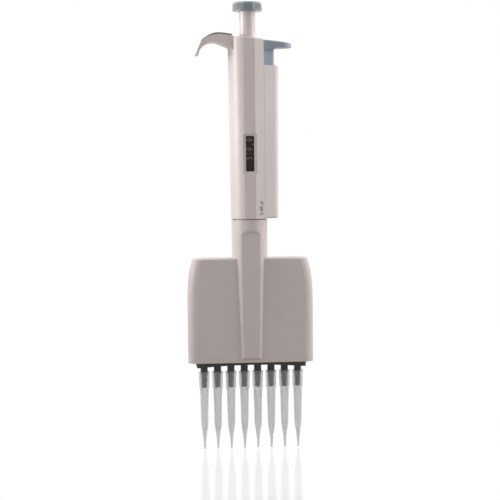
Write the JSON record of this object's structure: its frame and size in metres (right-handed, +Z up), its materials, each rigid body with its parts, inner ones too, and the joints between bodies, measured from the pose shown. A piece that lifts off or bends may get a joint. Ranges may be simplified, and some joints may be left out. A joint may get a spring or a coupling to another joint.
{
  "type": "adjustable multichannel micropipette",
  "caption": "Hand-held adjustable pipette with a hanging hook, a number-drum display, a push button, a tip ejector and a swivelling in-line row of tips.",
  "frame": {"origin": "long axis of the handle at the level of the tip ends", "axes": "+Z up along the handle to the push button, +X towards the tip ejector, -Y towards the volume display"},
  "size_m": [0.084, 0.0248, 0.2976],
  "materials": {
    "grey_shell": "fine moulded texture, light warm grey",
    "head_shell": "fine moulded texture, light warm grey",
    "button_blue": "glossy blue-grey with fine ribs",
    "lever_blue": "satin blue-grey",
    "inlay_blue": "soft-touch blue-grey",
    "sleeve_grey": "smooth light grey",
    "black_plastic": "satin black",
    "drum_black": "black with pale printed digits",
    "clear_lens": "clear moulded window",
    "tip_plastic": "translucent natural polypropylene",
    "bush_plastic": "natural acetal",
    "steel": "ground stainless steel",
    "spring_steel": "drawn wire",
    "brass_nut": "turned",
    "seal_rubber": "lubricated seal"
  },
  "bodies": {
    "handle": {"handle_body": "grey_shell", "rail_cover": "grey_shell", "hook_inlay": "inlay_blue", "window_lens": "clear_lens", "counter_frame": "black_plastic", "pinion_shaft": "steel", "top_bush": "bush_plastic", "swivel_bush": "bush_plastic", "hundreds_drum": "drum_black", "primary_spring": "spring_steel", "ejector_spring": "spring_steel"},
    "plunger": {"spring_cup": "black_plastic"},
    "knob": {"push_button": "button_blue", "button_cap": "button_blue", "button_sleeve": "sleeve_grey", "plunger_rod": "steel", "stop_collar": "steel"},
    "spindle": {"volume_spindle": "brass_nut", "tenths_drum": "drum_black"},
    "units_counter": {"units_drum": "drum_black"},
    "tens_counter": {"tens_drum": "drum_black"},
    "pinion_a": {"transfer_pinion_1": "bush_plastic"},
    "pinion_b": {"transfer_pinion_2": "bush_plastic"},
    "nut": {"volume_nut": "brass_nut"},
    "ejector": {"ejector_lever": "lever_blue", "ejector_rod": "steel", "ejector_foot": "bush_plastic"},
    "head": {"head_front_cover": "head_shell", "head_back_cover": "head_shell", "head_stem": "head_shell", "swivel_clip": "spring_steel", "nozzle_bar": "black_plastic", "nozzles": "black_plastic", "piston_seals": "seal_rubber", "seal_retainer": "steel", "guide_posts": "steel", "head_screws": "steel", "blowout_spring": "spring_steel", "carriage_springs": "spring_steel"},
    "first_stop": {"first_stop_washer": "steel"},
    "carriage": {"piston_bar": "black_plastic", "pistons": "steel", "carriage_stem": "steel"},
    "stripper": {"thrust_ring": "bush_plastic", "push_rods": "steel", "stripper_yoke": "black_plastic", "side_rods": "steel", "stripper_plate": "black_plastic"},
    "tips": {"tip_1": "tip_plastic", "tip_2": "tip_plastic", "tip_3": "tip_plastic", "tip_4": "tip_plastic", "tip_5": "tip_plastic", "tip_6": "tip_plastic", "tip_7": "tip_plastic", "tip_8": "tip_plastic"}
  },
  "joints": [
    {"name": "plunger_press", "type": "slide", "parent": "handle", "child": "plunger", "axis": [0, 0, -1], "range_m": [0, 0.014], "stiffness_N_per_m": 350, "springref_m": -0.006, "deforming": ["primary_spring"]},
    {"name": "volume_turn", "type": "hinge", "parent": "plunger", "child": "knob", "pos_m": [0, 0, 0.26], "axis": [0, 0, 1], "range_deg": [-3240, 0]},
    {"name": "spindle_turn", "type": "hinge", "parent": "handle", "child": "spindle", "pos_m": [0, 0, 0.2], "axis": [0, 0, 1], "range_deg": [-3240, 0]},
    {"name": "units_turn", "type": "hinge", "parent": "handle", "child": "units_counter", "pos_m": [0, 0, 0.2], "axis": [0, 0, 1], "range_deg": [-1620, 0]},
    {"name": "tens_turn", "type": "hinge", "parent": "handle", "child": "tens_counter", "pos_m": [0, 0, 0.194], "axis": [0, 0, 1], "range_deg": [-162, 0]},
    {"name": "pinion_a_turn", "type": "hinge", "parent": "handle", "child": "pinion_a", "pos_m": [0.00195, 0.00919, 0.2034], "axis": [0, 0, 1], "range_deg": [0, 10368]},
    {"name": "pinion_b_turn", "type": "hinge", "parent": "handle", "child": "pinion_b", "pos_m": [0.00195, 0.00919, 0.1974], "axis": [0, 0, 1], "range_deg": [0, 1036.8]},
    {"name": "nut_travel", "type": "slide", "parent": "handle", "child": "nut", "axis": [0, 0, 1], "range_m": [-0.009, 0]},
    {"name": "ejector_press", "type": "slide", "parent": "handle", "child": "ejector", "axis": [0, 0, -1], "range_m": [0, 0.008], "stiffness_N_per_m": 300, "springref_m": -0.006, "deforming": ["ejector_spring"]},
    {"name": "head_swivel", "type": "hinge", "parent": "handle", "child": "head", "pos_m": [0, 0, 0.15], "axis": [0, 0, 1], "continuous": true},
    {"name": "blowout_travel", "type": "slide", "parent": "head", "child": "first_stop", "axis": [0, 0, -1], "range_m": [0, 0.00392], "deforming": ["blowout_spring"]},
    {"name": "piston_travel", "type": "slide", "parent": "head", "child": "carriage", "axis": [0, 0, -1], "range_m": [0, 0.014], "deforming": ["carriage_springs"]},
    {"name": "stripper_travel", "type": "slide", "parent": "head", "child": "stripper", "axis": [0, 0, -1], "range_m": [0, 0.008]},
    {"name": "tip_release", "type": "slide", "parent": "head", "child": "tips", "axis": [0, 0, -1], "range_m": [0, 0.012]}
  ],
  "couplings": [
    {"joint": "spindle_turn", "follows": "volume_turn", "ratio": 1},
    {"joint": "units_turn", "follows": "volume_turn", "ratio": 0.5},
    {"joint": "tens_turn", "follows": "volume_turn", "ratio": 0.05},
    {"joint": "pinion_a_turn", "follows": "volume_turn", "ratio": -3.2},
    {"joint": "pinion_b_turn", "follows": "volume_turn", "ratio": -0.32},
    {"joint": "nut_travel", "follows": "volume_turn", "m_per_rad": 0.00015915},
    {"joint": "blowout_travel", "follows": "plunger_press", "ratio": 0.28},
    {"joint": "piston_travel", "follows": "plunger_press", "ratio": 1},
    {"joint": "stripper_travel", "follows": "ejector_press", "ratio": 1},
    {"joint": "tip_release", "follows": "ejector_press", "ratio": 1.5}
  ]
}
